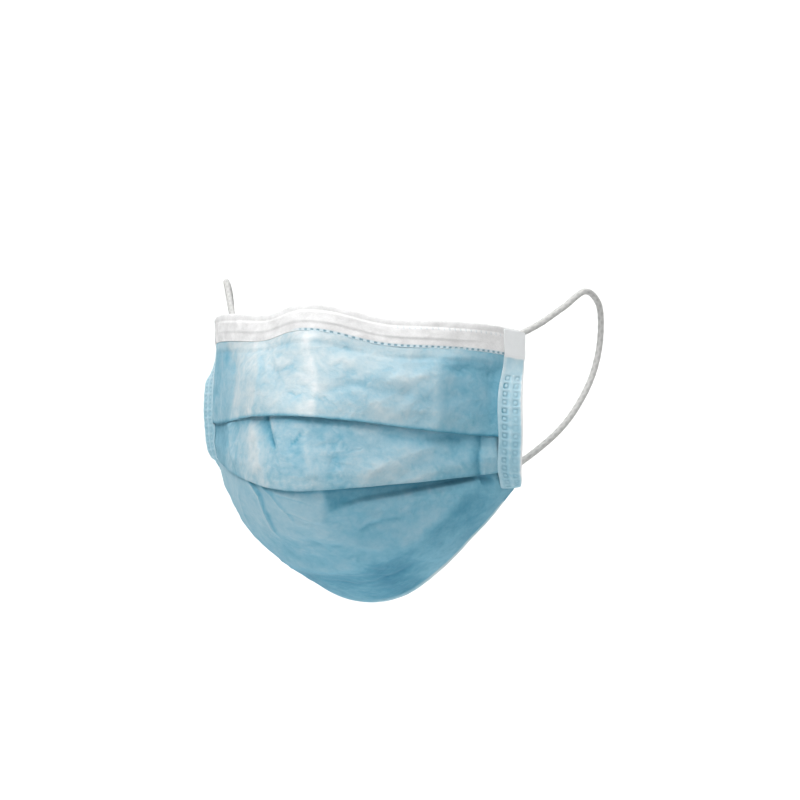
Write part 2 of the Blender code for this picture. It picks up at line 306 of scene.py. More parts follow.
# Folds and creases of each panel: a line of (across, distance in mm) places, how high it stands (mm, negative
# for a valley), how far it reaches to its right and left as one walks along it (mm), how sharp it is, from 0,
# round, to 1, a knife edge, the painted light and shade on its right and on its left, how much paler the
# cloth is painted on a lit flank and, negative, how much darker on a shaded one, with the width (mm) over
# which that fades, and by what share it narrows to its end
Crease = namedtuple(
    "Crease",
    "points height right left sharp pale_right pale_left fade_right fade_left taper",
    defaults=(0.0,),
)
CREASES = {
    "upper": [
        Crease(
            [(-0.01, 8), (0.02, 15), (0.05, 23), (0.07, 32), (0.08, 47)],
            0.8, 11, 5, 0.8, 0.30, -0.02, 7, 12,
        ),
        Crease([(-0.33, 9), (-0.25, 24), (-0.23, 47)], 0.8, 8, 8, 0.7, 0.14, -0.06, 9, 6),
        Crease([(0.55, 10), (0.585, 20), (0.61, 44)], 0.9, 9, 8, 0.3, 0.08, -0.12, 10, 16),
        Crease([(-0.66, 10), (-0.52, 22), (-0.53, 30), (-0.60, 47)], -0.8, 7, 7, 0.0, -0.20, 0.03, 12, 12),
        Crease([(0.84, 12), (0.85, 42)], -0.8, 7, 7, 0.1, -0.10, -0.14, 5, 7),
        Crease([(0.10, 31), (0.22, 27), (0.38, 27), (0.48, 30)], -0.6, 4, 5, 0.4, -0.12, -0.14, 4, 5),
        Crease([(0.62, 17), (0.72, 15.5), (0.84, 18)], -0.5, 4, 4, 0.4, -0.12, -0.12, 5, 4),
        Crease([(0.36, 20), (0.44, 23), (0.54, 19)], 0.5, 5, 4, 0.4, 0.12, 0.10, 4, 4),
        Crease([(0.10, 17), (0.18, 19), (0.28, 13)], 0.5, 5, 4, 0.4, 0.12, 0.10, 4, 4),
        Crease([(-0.20, 20), (-0.12, 26), (-0.14, 34)], -0.4, 3, 3, 0.7, -0.08, -0.06, 3, 3),
    ],
    "middle": [
        Crease([(0.81, 36), (0.82, 43), (0.805, 48), (0.80, 58)], -0.9, 4, 1.4, 0.8, -0.36, -0.10, 5, 1.2),
        Crease([(-0.62, 38), (-0.52, 48), (-0.40, 58)], 0.8, 3, 8, 0.7, -0.14, 0.06, 5, 6),
        Crease([(-0.19, 38), (-0.14, 44), (-0.07, 53)], -1.0, 7.0, 3.4, 0.8, -0.56, -0.34, 9.0, 2.8, 0.85),
        Crease([(-0.30, 40), (-0.21, 48), (-0.13, 60)], 0.8, 10, 4, 0.7, 0.24, 0.10, 16, 4),
        Crease([(0.05, 45), (0.025, 48.5), (0.0, 52)], -0.4, 1.3, 2.2, 0.9, -0.34, -0.10, 1.1, 1.0),
        Crease([(0.27, 62), (0.34, 55), (0.47, 48.5), (0.62, 44.5)], 0.8, 5, 7, 0.5, 0.14, 0.14, 6, 3),
        Crease([(0.33, 42), (0.45, 43.5), (0.62, 42.5), (0.74, 42)], -0.6, 5, 3, 0.2, -0.20, -0.18, 4, 3),
        Crease([(0.16, 47), (0.19, 58)], -0.4, 4, 4, 0.5, -0.02, -0.04, 4, 4),
        Crease([(0.05, 47), (0.06, 53), (0.09, 62)], 0.5, 4, 3, 0.6, 0.10, 0.06, 4, 3),
        Crease([(0.42, 58.5), (0.60, 55), (0.74, 51)], 0.5, 4, 3, 0.4, 0.10, 0.12, 3, 4),
        Crease([(-0.02, 50), (0.10, 50.5), (0.16, 49)], -0.3, 1.6, 1.6, 0.8, -0.12, -0.08, 1.6, 1.6),
    ],
    "lower": [
        Crease(
            [(-0.30, 60), (-0.19, 69), (-0.17, 77), (-0.175, 90)],
            1.2, 6, 1.5, 0.9, 0.16, -0.40, 3.0, 1.8,
        ),
        Crease(
            [(-0.20, 63), (-0.105, 69.6), (-0.055, 76.5), (-0.03, 84)],
            0.6, 3, 1.6, 0.9, 0.10, -0.22, 2, 1.4,
        ),
        Crease([(-0.16, 66), (-0.005, 71), (0.06, 73.3)], 0.45, 1.6, 3, 0.9, -0.16, 0.12, 1.4, 2.0),
        Crease([(-0.09, 75.5), (0.01, 79.6), (0.06, 81.6)], 0.45, 1.6, 3, 0.9, -0.14, 0.12, 1.4, 2.0),
        Crease([(0.13, 58), (0.125, 67), (0.11, 74), (0.08, 84)], 0.8, 9, 4, 0.7, 0.06, -0.10, 9, 11),
        Crease(
            [(0.22, 83.5), (0.275, 79.4), (0.34, 76), (0.43, 73.6)],
            -0.5, 2, 1.6, 0.9, -0.14, -0.16, 1.6, 1.3,
        ),
        Crease(
            [(0.80, 56), (0.715, 64), (0.605, 71.7), (0.495, 79.8), (0.39, 88.6), (0.265, 98.2), (0.16, 106),
             (0.05, 113), (-0.055, 113.3), (-0.17, 109.2), (-0.36, 106)],
            1.3, 8, 6, 0.3, 0.16, -0.20, 8, 45,
        ),
        Crease([(-0.08, 122), (0.08, 125), (0.31, 109), (0.44, 97)], -0.4, 2.5, 2.0, 0.7, -0.10, -0.12, 2, 2),
        Crease([(0.80, 57), (0.87, 56)], -0.9, 3, 2.5, 0.3, -0.34, -0.34, 3, 2.5),
        Crease([(0.16, 92), (0.30, 88), (0.40, 80)], 0.5, 5, 5, 0.4, 0.06, 0.06, 5, 4),
        Crease([(-0.05, 92), (0.06, 96), (0.16, 93)], -0.4, 4, 3, 0.5, -0.08, -0.06, 4, 3),
        Crease([(-0.44, 64), (-0.42, 78), (-0.40, 88)], 0.5, 5, 4, 0.5, 0.06, -0.08, 5, 3),
    ],
}

# Under the lower fold, from the middle to the near side, the lowest panel sinks in: how far that reaches
# below the fold (mm) at places across
SUNK = [
    (0.11, 10.8), (0.15, 9.4), (0.20, 7.6), (0.27, 6.0), (0.35, 5.2), (0.45, 4.4), (0.56, 3.4), (0.75, 2.0),
]


def creased(panel, across, distance):
    """What the panel's own creases add to its height, and the painted light and shade they put on their
    flanks.
    """
    x = across * HALF_CLOTH
    y = distance
    x = x + 0.9 * MM * cloud(x / 0.011, y / 0.009, 71) + 0.4 * MM * cloud(x / 0.004, y / 0.004, 73)
    y = y + 0.7 * MM * cloud(x / 0.012, y / 0.010, 72)
    height = np.zeros(distance.shape)
    pale = np.zeros(distance.shape)
    for crease in CREASES[panel]:
        line = [(a * HALF_CLOTH, d * MM) for a, d in crease.points]
        offset, along = beside(x, y, line)
        ends = 0.15 + 0.85 * ease(along, 0.0, 0.15) * (1 - ease(along, 0.85, 1.0))
        offset = offset / (1 - crease.taper * along)
        f = np.abs(offset) / (np.where(offset > 0, crease.right, crease.left) * MM)
        knife = np.maximum(1 - f, 0) ** 1.6
        soft = np.exp(-2.2 * f * f)
        height += crease.height * MM * (crease.sharp * knife + (1 - crease.sharp) * soft) * ends
        blur = min(0.4 + 3.6 * (1 - crease.sharp), 0.35 * min(crease.fade_right, crease.fade_left)) * MM
        # Painted light and shade: one flank of the crease is painted paler and the other darker, as light
        # falls on them
        on_right = ease(offset, -blur, blur)
        right = crease.pale_right * np.clip(1 - offset / (crease.fade_right * MM), 0, 1) ** 1.4
        left = crease.pale_left * np.clip(1 + offset / (crease.fade_left * MM), 0, 1) ** 1.4
        pale += (right * on_right + left * (1 - on_right)) * ends
    return height, pale


def puckers(x, y):
    """The broad unevenness and the finer crinkles that the whole cloth has."""
    broad = 0.50 * MM * cloud(x / 0.034, y / 0.026, 3)
    middle = 0.22 * MM * crumple(x, y, 0.012, 7)
    small = 0.09 * MM * crumple(x, y * 1.2, 0.0060, 21) + 0.05 * MM * cloud(x / 0.0030, y / 0.0024, 33)
    return broad + middle + small


def grid_mesh(name, points, wrap=False):
    """A sheet through a grid of points (row, column); wrap joins its last column to its first."""
    rows, columns = points.shape[:2]
    number = np.arange(rows * columns).reshape(rows, columns)
    if wrap:
        number = np.concatenate([number, number[:, :1]], axis=1)
    faces = np.stack([number[:-1, :-1], number[1:, :-1], number[1:, 1:], number[:-1, 1:]], axis=-1)
    mesh = bpy.data.meshes.new(name)
    mesh.from_pydata(points.reshape(-1, 3).tolist(), [], faces.reshape(-1, 4).tolist())
    mesh.polygons.foreach_set("use_smooth", [True] * len(mesh.polygons))
    mesh.update()
    piece = bpy.data.objects.new(name, mesh)
    bpy.context.scene.collection.objects.link(piece)
    return piece


def note(piece, name, values):
    """Keep a number or a vector for each point of a piece, for its material to read."""
    kind, field = ("FLOAT_VECTOR", "vector") if values.ndim == 3 else ("FLOAT", "value")
    attribute = piece.data.attributes.new(name, kind, "POINT")
    attribute.data.foreach_set(field, values.astype(np.float32).ravel())


def thicken(piece, thickness, materials):
    """Give a sheet its thickness on the inner side, and keep the result as its mesh."""
    for material in materials:
        piece.data.materials.append(material)
    wall = piece.modifiers.new("wall", "SOLIDIFY")
    wall.thickness = thickness
    wall.offset = -1.0
    wall.use_even_offset = True
    wall.use_quality_normals = True
    wall.thickness_clamp = 1.5
    wall.material_offset = len(materials) - 1
    wall.material_offset_rim = 0
    seen = piece.evaluated_get(bpy.context.evaluated_depsgraph_get())
    mesh = bpy.data.meshes.new_from_object(seen)
    piece.modifiers.clear()
    piece.data = mesh


def cloth_places(x, y):
    """Flat places for a material to read its pattern at."""
    return np.stack([x, y, np.zeros(x.shape)], axis=-1)


class FoldPath:
    """The rows of a folded sheet: a distance and a height for each, at every place across."""

    def __init__(self):
        self.distance = []
        self.height = []
        self.marks = {}

    def add(self, distance, height):
        self.distance.append(distance)
        self.height.append(height)

    def run(self, distance, height, count):
        """Even steps from the last place to this one."""
        first = self.distance[-1]
        base = self.height[-1]
        for step in range(1, count + 1):
            f = step / count
            self.add(first + (distance - first) * f, base + (height - base) * f)

    def turn(self, way, pitch, count):
        """A half circle to the layer behind; way is 1 where it bulges down, -1 where it bulges up."""
        first = self.distance[-1]
        base = self.height[-1]
        for step in range(1, count + 1):
            angle = math.pi * step / count
            across = pitch / 2 * math.sin(angle) * way
            self.add(first + across, base - pitch / 2 * (1 - math.cos(angle)))

    def mark(self, name):
        """Keep the number of the last row under a name."""
        self.marks[name] = len(self.distance) - 1

    def arrays(self):
        return np.array(self.distance), np.array(self.height)


def keep_clear(distance, height, marks):
    """Hold the cloth under each fold clear of the cloth over it, in height."""
    room = 0.44 * MM
    for over, under_first, under_last in (
        ((0, "upper_back"), "upper_back", "middle"),
        (("upper_back", "upper_top"), "middle", "lower_edge"),
        (("middle", "lower_back"), "lower_back", "lower"),
        (("lower_back", "lower_top"), "lower", "hem"),
    ):
        roof_rows = slice(marks.get(over[0], 0), marks[over[1]] + 1)
        rows_under = slice(marks[under_first] + 2, marks[under_last] + 1)
        for column in range(distance.shape[1]):
            roof_at = distance[roof_rows, column]
            order = np.argsort(roof_at)
            roof_at = roof_at[order]
            roof = height[roof_rows, column][order] - room
            places = distance[rows_under, column]
            beyond = np.maximum(places - roof_at[-1], 0)
            cap = np.interp(places, roof_at, roof) + beyond * 1.2 + (beyond > 4 * MM) * 1.0
            height[rows_under, column] = np.minimum(height[rows_under, column], cap)


def make_body(materials):
    """The blue cloth with its two pleats, from under the top binding to inside the hem."""
    columns = 199
    across = np.linspace(-CLOTH_REACH, CLOTH_REACH, columns)
    surface = Surface(across)
    share = np.abs(across)
    upper = surface.line_at["upper_fold"]
    lower = surface.line_at["lower_fold"]
    hem = surface.line_at["hem"]
    pitch = (0.52 + 0.03 * (1 - share)) * MM
    depth = {key: a + (b - a) * share for key, (a, b) in PLEAT_DEPTH.items()}
    # The upper pleat stands open in the middle, the lower one from there to the near side
    open_upper = hill(across, 0.05, 0.34, 3)
    open_lower = hill(across, 0.42, 0.40, 3) + 0.45 * hill(across, -0.1, 0.25)
    path = FoldPath()
    path.add(np.full(columns, 1.6 * MM), np.full(columns, -0.55 * MM))
    for beyond, stands, count in ((-0.9, -0.32, 4), (0.1, 0.10, 4), (0.8, 0.15, 3), (2.2, 0.0, 3)):
        path.run(np.full(columns, BAND + beyond * MM), np.full(columns, stands * MM), count)
    path.run(upper - pitch / 2, np.zeros(columns), 42)
    path.turn(1, pitch, 8)
    path.mark("upper_back")
    path.run(upper - depth["upper"], -pitch, 5)
    path.mark("upper_top")
    path.turn(-1, pitch, 4)
    path.mark("middle")
    level = 1 - 0.75 * ease(share, 0.66, 0.86)
    path.run(upper - pitch / 2, -2 * pitch - 0.35 * MM * open_upper, 5)
    path.run(upper + 4 * MM, -1.5 * pitch, 6)
    path.run(lower - depth["lower"] - 2 * MM, -0.2 * MM * level, 18)
    path.run(lower - pitch / 2, np.zeros(columns), 14)
    path.mark("lower_edge")
    path.turn(1, pitch, 8)
    path.mark("lower_back")
    path.run(lower - depth["lower"], -pitch, 5)
    path.mark("lower_top")
    path.turn(-1, pitch, 4)
    path.mark("lower")
    path.run(lower - pitch / 2, -2 * pitch - 0.5 * open_lower * MM, 5)
    path.run(lower + (hem - lower) * 0.16, -0.9 * MM * level - 0.3 * MM * open_lower, 24)
    path.run(lower + (hem - lower) * 0.40, -0.8 * MM * level, 26)
    path.run(hem - 2.2 * MM, -1.1 * MM * level, 46)
    path.run(hem - 0.5 * MM, -1.2 * MM * level, 4)
    path.mark("hem")
    path.turn(1, 0.8 * MM, 4)
    path.run(hem - 5.5 * MM, -1.2 * MM * level - 1.0 * MM, 4)
    distance, height = path.arrays()
    number = np.arange(len(distance))[:, None]
    side = np.broadcast_to(across, distance.shape)
    x = side * HALF_CLOTH
    y = distance
    share = np.abs(side)
    marks = path.marks

    # The cloth lies still under the bindings, and more so along the hem
    free = (1 - ease(share, 0.80, 0.885)) * ease(y, BAND - 0.2 * MM, BAND + 4 * MM)
    free = free * (0.35 + 0.65 * ease(hem - y, 1 * MM, 12 * MM))
    waves = puckers(x, y)
    in_upper = (number <= marks["upper_back"]) * 1.0
    # The leaf behind a fold follows the panel over it as far as its top
    weights = {}
    above = np.ones(number.shape)
    for name, start, end in (("upper", "upper_top", "middle"), ("middle", "lower_top", "lower")):
        below = np.clip((number - marks[start]) / (marks[end] - marks[start]), 0, 1)
        weights[name] = above * (1 - below)
        above = below
    weights["lower"] = above
    moved = height + waves * free
    inside_strips = 1 - ease(share, 0.84, 0.90)
    still = inside_strips * ease(y, BAND - 1 * MM, BAND + 4 * MM)
    # Painted light and shade that the creases put on the flanks of the cloth
    crease_light_and_shade = np.zeros(distance.shape)
    for name, weight in weights.items():
        relief, paler = creased(name, side, y)
        moved += relief * weight * still
        crease_light_and_shade += paler * weight * (1 - ease(share, 0.87, 0.90))

    # Under the lower fold the cloth sinks in, and comes out again with a ridge
    under = (y - lower) / MM
    edge = np.interp(side, [a for a, d in SUNK], [d for a, d in SUNK])
    there = ease(side, 0.115, 0.150) * (1 - ease(side, 0.74, 0.86)) * weights["lower"]
    sunk = there * (1 - ease(under, edge - 1.0, edge + 0.5))
    moved -= 1.5 * MM * sunk * ease(side, 0.10, 0.36)
    moved += 0.6 * MM * there * hill(under - edge, 1.8, 2.2)

    # The lower edges of the upper and the middle panel stand off where their pleats are open
    moved += 0.5 * MM * open_upper * ease(y, upper - 9 * MM, upper) * weights["upper"]
    in_sight = number > marks["middle"] + 8
    moved += 0.6 * MM * open_lower * ease(y, lower - 9 * MM, lower) * weights["middle"] * in_sight

    # Just under the top binding the cloth puffs out, with a groove below
    puff = hill(y, 11.4 * MM, 1.3 * MM) - 1.1 * hill(y, 13.9 * MM, 0.8 * MM)
    moved += 0.20 * MM * puff * in_upper * free

    keep_clear(distance, moved, marks)

    # The weld line along the hem
    over_hem = (hem - y) / MM
    outside = (number <= marks["hem"]) * 1.0
    groove = hill(over_hem, 2.3, 0.45) * outside * inside_strips
    moved -= 0.35 * MM * groove

    body = grid_mesh("mask_body_cloth", surface.lift(distance, moved))
    # The pattern of the cloth, another one for each panel
    even = surface.lift(distance, height)
    even[..., 0] += 0.3 * weights["middle"] + 0.7 * weights["lower"]
    note(body, "cloth", even)
    # Paler where it lies close on the white inner cloth, deeper where it stands free or is folded, and over
    # this tone painted light and shade
    # Painted shade over the cloth's own tone: darker towards the near side, away from the key lamp, and along
    # the far edges of the upper and middle panels
    pale = 0.68 - 0.30 * ease(side, 0.28, 0.80)
    pale -= in_upper * (0.34 * ease(-side, 0.46, 0.70) + 0.06 * ease(side, 0.6, 0.8))
    pale -= weights["middle"] * (0.10 + 0.10 * ease(side, -0.14, -0.04) - 0.08 * ease(side, 0.25, 0.5))
    # Painted light and shade on the middle panel: paler beside the near strip, darker towards the far one
    near_strips = 0.12 * ease(side, 0.79, 0.82) - 0.26 * ease(-side, 0.50, 0.66)
    pale += weights["middle"] * near_strips
    # The lowest panel is deeper, partly its own tone and partly painted shade, and darker still towards its
    # bottom as painted shade where it faces down
    pale -= weights["lower"] * (0.26 + 0.10 * ease(side, 0.08, 0.25) - 0.14 * ease(side, 0.30, 0.60))
    down = (y - lower) / (hem - lower)
    pale -= 0.30 * weights["lower"] * ease(down, 0.15, 0.8) * (1 - ease(side, 0.3, 0.5))
    pale -= 0.06 * in_upper * ease(side, 0.08, 0.2) * (1 - ease(side, 0.5, 0.7))
    pale -= 0.17 * weights["middle"] * (1 - ease(side, -0.36, -0.2))
    # Painted highlight on the puff just under the top binding
    pale += (0.20 - 0.10 * ease(side, 0.0, 0.2)) * hill(y, 11.2 * MM, 1.5 * MM) * in_upper
    # The creases' painted light and shade, and painted shade in the sunk pocket under the lower fold
    pale += crease_light_and_shade - 0.22 * sunk
    # Painted shadow under each fold, and painted shade along the rolled edge over it
    for fold, over, beneath, width in ((upper, "upper", "middle", 1.5), (lower, "middle", "lower", 1.1)):
        drop = (y - fold) / MM
        deep = 0.45 + 0.55 * hill(side, 0.02, 0.36, 3)
        pale -= 0.22 * deep * (1 - ease(drop, 0.7 * width, 2.0 * width)) * weights[beneath]
        pale -= (0.38 if over == "upper" else 0.10) * ease(drop, -1.3, -0.2) * weights[over]
    # The cut edge along the hem shows paler
    pale += (0.22 + 0.34 * ease(side, 0.0, 0.25)) * (1 - ease(over_hem, 1.6, 2.6)) * outside * (share < 0.9)
    note(body, "pale", pale)
    mottled = 1 - 0.45 * weights["lower"] - 0.15 * ease(-side, 0.3, 0.5)
    note(body, "mottled", mottled - 0.28 * ease(side, 0.1, 0.5) * (1 - weights["lower"]))
    note(body, "weld", 0.35 * groove)
    thicken(body, PLY, materials)
    body.data.name = body.name
    return body


def welds(x, y, pitch, length, height, row):
    """Marks of a welding wheel along a line: 1 inside each small rounded bar and 0 between them."""
    along = np.abs(np.mod(x / pitch, 1.0) - 0.5) * pitch
    f = (along / (length / 2)) ** 4 + (np.abs(y - row) / (height / 2)) ** 4
    return 1 - ease(f, 0.5, 1.6)


def make_top_binding(materials):
    """The white strip folded over the top edge, with the raised pocket of the nose wire and its welds."""
    columns = 601
    across = np.linspace(-CLOTH_REACH, CLOTH_REACH, columns)
    surface = Surface(across)
    front = np.concatenate([np.linspace(9.7, 7.9, 8), np.linspace(7.5, 0.9, 20)]) * MM
    distance = list(front)
    height = [0.35 * MM] * len(front)
    for step in range(1, 8):
        angle = math.pi * step / 8
        distance.append((0.7 - 1.2 * math.sin(angle)) * MM)
        height.append((-0.30 + 0.65 * math.cos(angle)) * MM)
    for d in np.linspace(0.9, 9.6, 9):
        distance.append(d * MM)
        height.append(-0.95 * MM)
    rows = len(distance)
    y = np.repeat(np.array(distance)[:, None], columns, axis=1)
    h = np.repeat(np.array(height)[:, None], columns, axis=1)
    side = np.broadcast_to(across, y.shape)
    x = side * HALF_BAND
    outer = (np.arange(rows)[:, None] < len(front) + 3) * 1.0
    # The pocket of the nose wire, between two grooves
    wander = 0.25 * MM * cloud(x / 0.03, 0 * x, 61)
    pocket = ease(y, 2.0 * MM + wander, 2.7 * MM + wander)
    pocket = pocket * (1 - ease(y, 6.0 * MM + wander, 6.7 * MM + wander))
    h = h + 0.42 * MM * pocket * outer * (0.35 + 0.65 * (1 - ease(np.abs(side), 0.62, 0.80)))
    h = h - 0.12 * MM * hill(y - wander, 2.1 * MM, 0.35 * MM) * outer
    h = h + puckers(x * 1.3 + 0.4, y * 1.3) * 0.35 * (1 - ease(np.abs(side), 0.80, 0.88))
    h = h + 0.10 * MM * crumple(x, y * 1.6, 0.006, 81) * outer * (1 - ease(np.abs(side), 0.80, 0.88))
    # Weld marks along the lower edge, and finer ones along the top of the pocket
    strength = 0.06 + 0.94 * ease(side, -0.08, 0.0)
    lower_row = welds(x, y, 2.3 * MM, 1.05 * MM, 0.75 * MM, 9.20 * MM) * outer * strength
    upper_row = welds(x + 0.001, y, 2.2 * MM, 0.55 * MM, 1.0 * MM, 2.75 * MM) * outer * ease(side, 0.28, 0.36)
    h = h - 0.20 * MM * lower_row - 0.08 * MM * upper_row
    # The lower edge is pressed down on the body
    h = h - 0.20 * MM * ease(y, 7.6 * MM, 9.6 * MM) * outer
    band = grid_mesh("top_binding_cloth", surface.lift(y, h)[::-1])
    note(band, "cloth", cloth_places(x, y)[::-1])
    note(band, "weld", (0.8 * lower_row + 0.22 * upper_row)[::-1])
    note(band, "sheer", (ease(y, 8.5 * MM, 8.9 * MM) * outer * ease(side, -0.12, 0.0))[::-1])
    thicken(band, BAND_PLY, materials)
    return band


def make_side_binding(name, side, materials):
    """The strip folded over a side edge, with two columns of embossed rings."""
    # Places across the strip (mm), the outer edge of the mask being 0
    inner_edge = 11.0
    fold_edge = 1.6
    inner_layer = -2.25 * MM
    front = np.linspace(inner_edge, fold_edge, 35)
    width = list(front * MM)
    height = [0.24 * MM] * len(front)
    for step in range(1, 10):
        angle = math.pi * step / 10
        width.append((1.5 - 1.2 * math.sin(angle)) * MM)
        height.append((-1.00 + 1.25 * math.cos(angle)) * MM)
    back = np.linspace(fold_edge, inner_edge, 24)
    width += list(back * MM)
    height += [inner_layer] * len(back)
    width = np.array(width)
    height = np.array(height)
    whole = Cuts(np.array([1.0])).line_at["hem"][0]
    y = np.linspace(0.1 * MM, whole + 0.3 * MM, 205)
    edge = Cuts(np.array([0.9, 1.0])).at(np.repeat(y[:, None], 2, axis=1))
    per_metre = 0.1 / np.linalg.norm(edge[:, 1] - edge[:, 0], axis=1)
    points = np.empty((len(y), len(width), 3))
    w = np.repeat(width[None, :], len(y), axis=0)
    h = np.repeat(height[None, :], len(y), axis=0)
    d = np.repeat(y[:, None], len(width), axis=1)
    d = d * (1 - 1.1 * MM / whole * w / STRIP)
    wider = 1.2 * (1 - ease(d, 4 * MM, 20 * MM)) - 0.5 * ease(d, 25 * MM, 45 * MM)
    wider = wider + 1.2 * ease(d, whole - 18 * MM, whole)
    w = w + wider * MM * w / STRIP
    outer = (np.arange(len(width)) < len(front) + 4)[None, :] * 1.0
    sign = np.where(outer > 0, 1.0, -1.0)
    # It steps down from the top binding to the body
    over_band = 1 - ease(d, BAND - 0.6 * MM, BAND + 1.2 * MM)
    h = h + 0.42 * MM * over_band * outer
    # On the far side its inner edge is pressed down on the folds
    fold = Cuts(np.array([0.87])).line_at
    upper, lower = fold["upper_fold"][0], fold["lower_fold"][0]
    steps = [
        (0.0, 0.0),
        (upper - 0.2 * MM, 0.0),
        (upper + 0.5 * MM, -0.95 * MM),
        (upper + 4 * MM, -0.75 * MM),
        (lower - 7 * MM, -0.1 * MM),
        (lower - 0.2 * MM, 0.0),
        (lower + 0.5 * MM, -0.95 * MM),
    ]
    level = np.interp(d, *zip(*steps))
    press = ease(w, 8.2 * MM, 10.6 * MM) * outer * (1 - over_band) * (side < 0)
    h = h * (1 - press) + (level + 0.14 * MM) * press
    # Its outer edge is bent forward, on the far side only in its middle part
    if side < 0:
        bent = ease(d, 20 * MM, 25 * MM) * (1 - ease(d, 50 * MM, 60 * MM))
    else:
        bent = 0.6 + 0.4 * ease(d, 20 * MM, 40 * MM)
    h = h + 1.15 * MM * bent * (1 - ease(w, 0.5 * MM, 10.5 * MM)) * (0.5 + 0.5 * outer)
    # Rings pressed into it, a rounded square with a raised middle, in two columns
    start = 16.5 * MM
    ring_pitch = 3.0 * MM
    outer_column, between_columns, inner_column = 3.6 * MM, 5.75 * MM, 7.9 * MM
    row = np.mod((d - start) / ring_pitch, 1.0) - 0.5
    from_column = np.minimum(np.abs(w - outer_column), np.abs(w - inner_column))
    radius = ((from_column / (1.30 * MM)) ** 4 + (np.abs(row) * ring_pitch / (1.15 * MM)) ** 4) ** 0.25
    # On the near side they are worn, more so in the outer column
    worn = 0.9
    if side > 0:
        worn = 0.82 + 0.45 * cloud(w / 0.006, d / 0.004, 97) - 0.22 * (w < between_columns)
        worn = np.clip(worn, 0.3, 1.0)
    inside = (d > start) * (d < whole - 1.5 * MM) * worn
    pressed = (1 - ease(radius, 0.80, 1.12)) * inside
    button = (1 - ease(radius, 0.28, 0.60)) * inside
    ridge = hill(w, between_columns, 0.55 * MM) + hill(w, fold_edge * MM, 0.6 * MM)
    knots = ridge * inside * (0.5 + 0.5 * np.cos(2 * math.pi * (row + 0.5)))
    h = h - sign * (0.30 * pressed - 0.30 * button - 0.16 * knots) * MM
    h = h + 0.05 * MM * cloud(w / 0.0023, d / 0.0021, 91) * sign + 0.12 * MM * cloud(w / 0.02, d / 0.011, 92)
    # Its corners are rounded
    from_end = np.minimum(y - y[0], y[-1] - y)[:, None]
    rounding = 0.8 * MM
    cut = (1 - np.sqrt(np.clip(1 - (1 - np.minimum(from_end / rounding, 1)) ** 2, 0, 1))) * rounding
    middle = 5.8 * MM
    drawn_in = w - cut * (w - middle) / (inner_edge * MM - middle)
    w = np.where(w > middle, drawn_in, w + cut * (middle - w) / middle)
    for row_number in range(len(y)):
        across = side * (1 - w[row_number] * per_metre[row_number])
        surface = Surface(across)
        points[row_number] = surface.lift(d[row_number][None, :], h[row_number][None, :])[0]
    # The rows run the other way on the far side, so that the cloth faces out there too
    turned = slice(None, None, side)
    strip = grid_mesh(name, points[turned])
    note(strip, "cloth", cloth_places(w, d)[turned])
    # Painted light on the strip: a painted highlight along its folded outer edge, on the raised knots between
    # the rings and along its inner edge, and its top painted paler as light falls there; over the top binding
    # it is white, as that shows through
    fold_edge_highlight = 1 - ease(w, 0.9 * MM, 2.1 * MM)
    white = np.maximum(over_band, 0.85 * fold_edge_highlight)
    painted_highlights = 0.25 * knots + 0.12 * ease(w, 9.6 * MM, 10.4 * MM)
    note(strip, "pale", (0.06 + white + painted_highlights + 0.30 * (1 - ease(d, 12 * MM, 44 * MM)))[turned])
    note(strip, "pressed", np.clip(pressed - button, 0, 1)[turned])
    thicken(strip, STRIP_PLY, materials)
    return strip


def make_ear_loop(name, side, material):
    """A round knitted elastic, as a tube with the relief of its braid."""
    route = np.array(LOOP_ROUTE) * [side, 1, 1]
    knots = walk(route)
    rings = 460
    where = np.linspace(0, knots[-1], rings)[:, None]
    line = smooth_run(knots[:, None], route[:, None, :], where)[:, 0]
    forward = np.gradient(line, axis=0)
    forward /= np.linalg.norm(forward, axis=1, keepdims=True)
    walked = walk(line)
    normal = np.empty_like(line)
    guide = np.array([0.0, 0.0, 1.0])
    for number in range(rings):
        guide = guide - forward[number] * (guide @ forward[number])
        guide = guide / np.linalg.norm(guide)
        normal[number] = guide
    other = np.cross(forward, normal)
    sides = 18
    braid = 3.4 * MM
    angle = np.linspace(0, 2 * math.pi, sides, endpoint=False)[None, :]
    s = walked[:, None]
    turns = s / braid * 2 * math.pi
    strands = np.maximum(np.cos(3 * angle + turns), np.cos(3 * angle - turns))
    radius = CORD_DIAMETER / 2 * (0.96 + 0.04 * strands)
    radius = radius * (1 + 0.02 * cloud(s / 0.004 + 0 * angle, 0 * s + angle, 5))
    ends = np.minimum(s, walked[-1] - s)
    radius = radius * np.sqrt(np.clip(ends / (0.8 * MM), 0.02, 1))
    points = line[:, None] + radius[..., None] * (
        np.cos(angle)[..., None] * normal[:, None] + np.sin(angle)[..., None] * other[:, None]
    )
    loop = grid_mesh(name, points, wrap=True)
    # The braid's relief, which the material turns into painted shade between the strands
    note(loop, "strand", strands)
    loop.data.materials.append(material)
    return loop


def linear(red, green, blue):
    """An sRGB colour, 0 to 255, as the renderer's linear one."""
    return tuple(
        c / 12.92 if c <= 0.04045 else ((c + 0.055) / 1.055) ** 2.4
        for c in (red / 255, green / 255, blue / 255)
    ) + (1.0,)


def put(node, **values):
    """Set inputs of a node; an underscore in a name stands for a space."""
    for name, value in values.items():
        node.inputs[name.replace("_", " ")].default_value = value


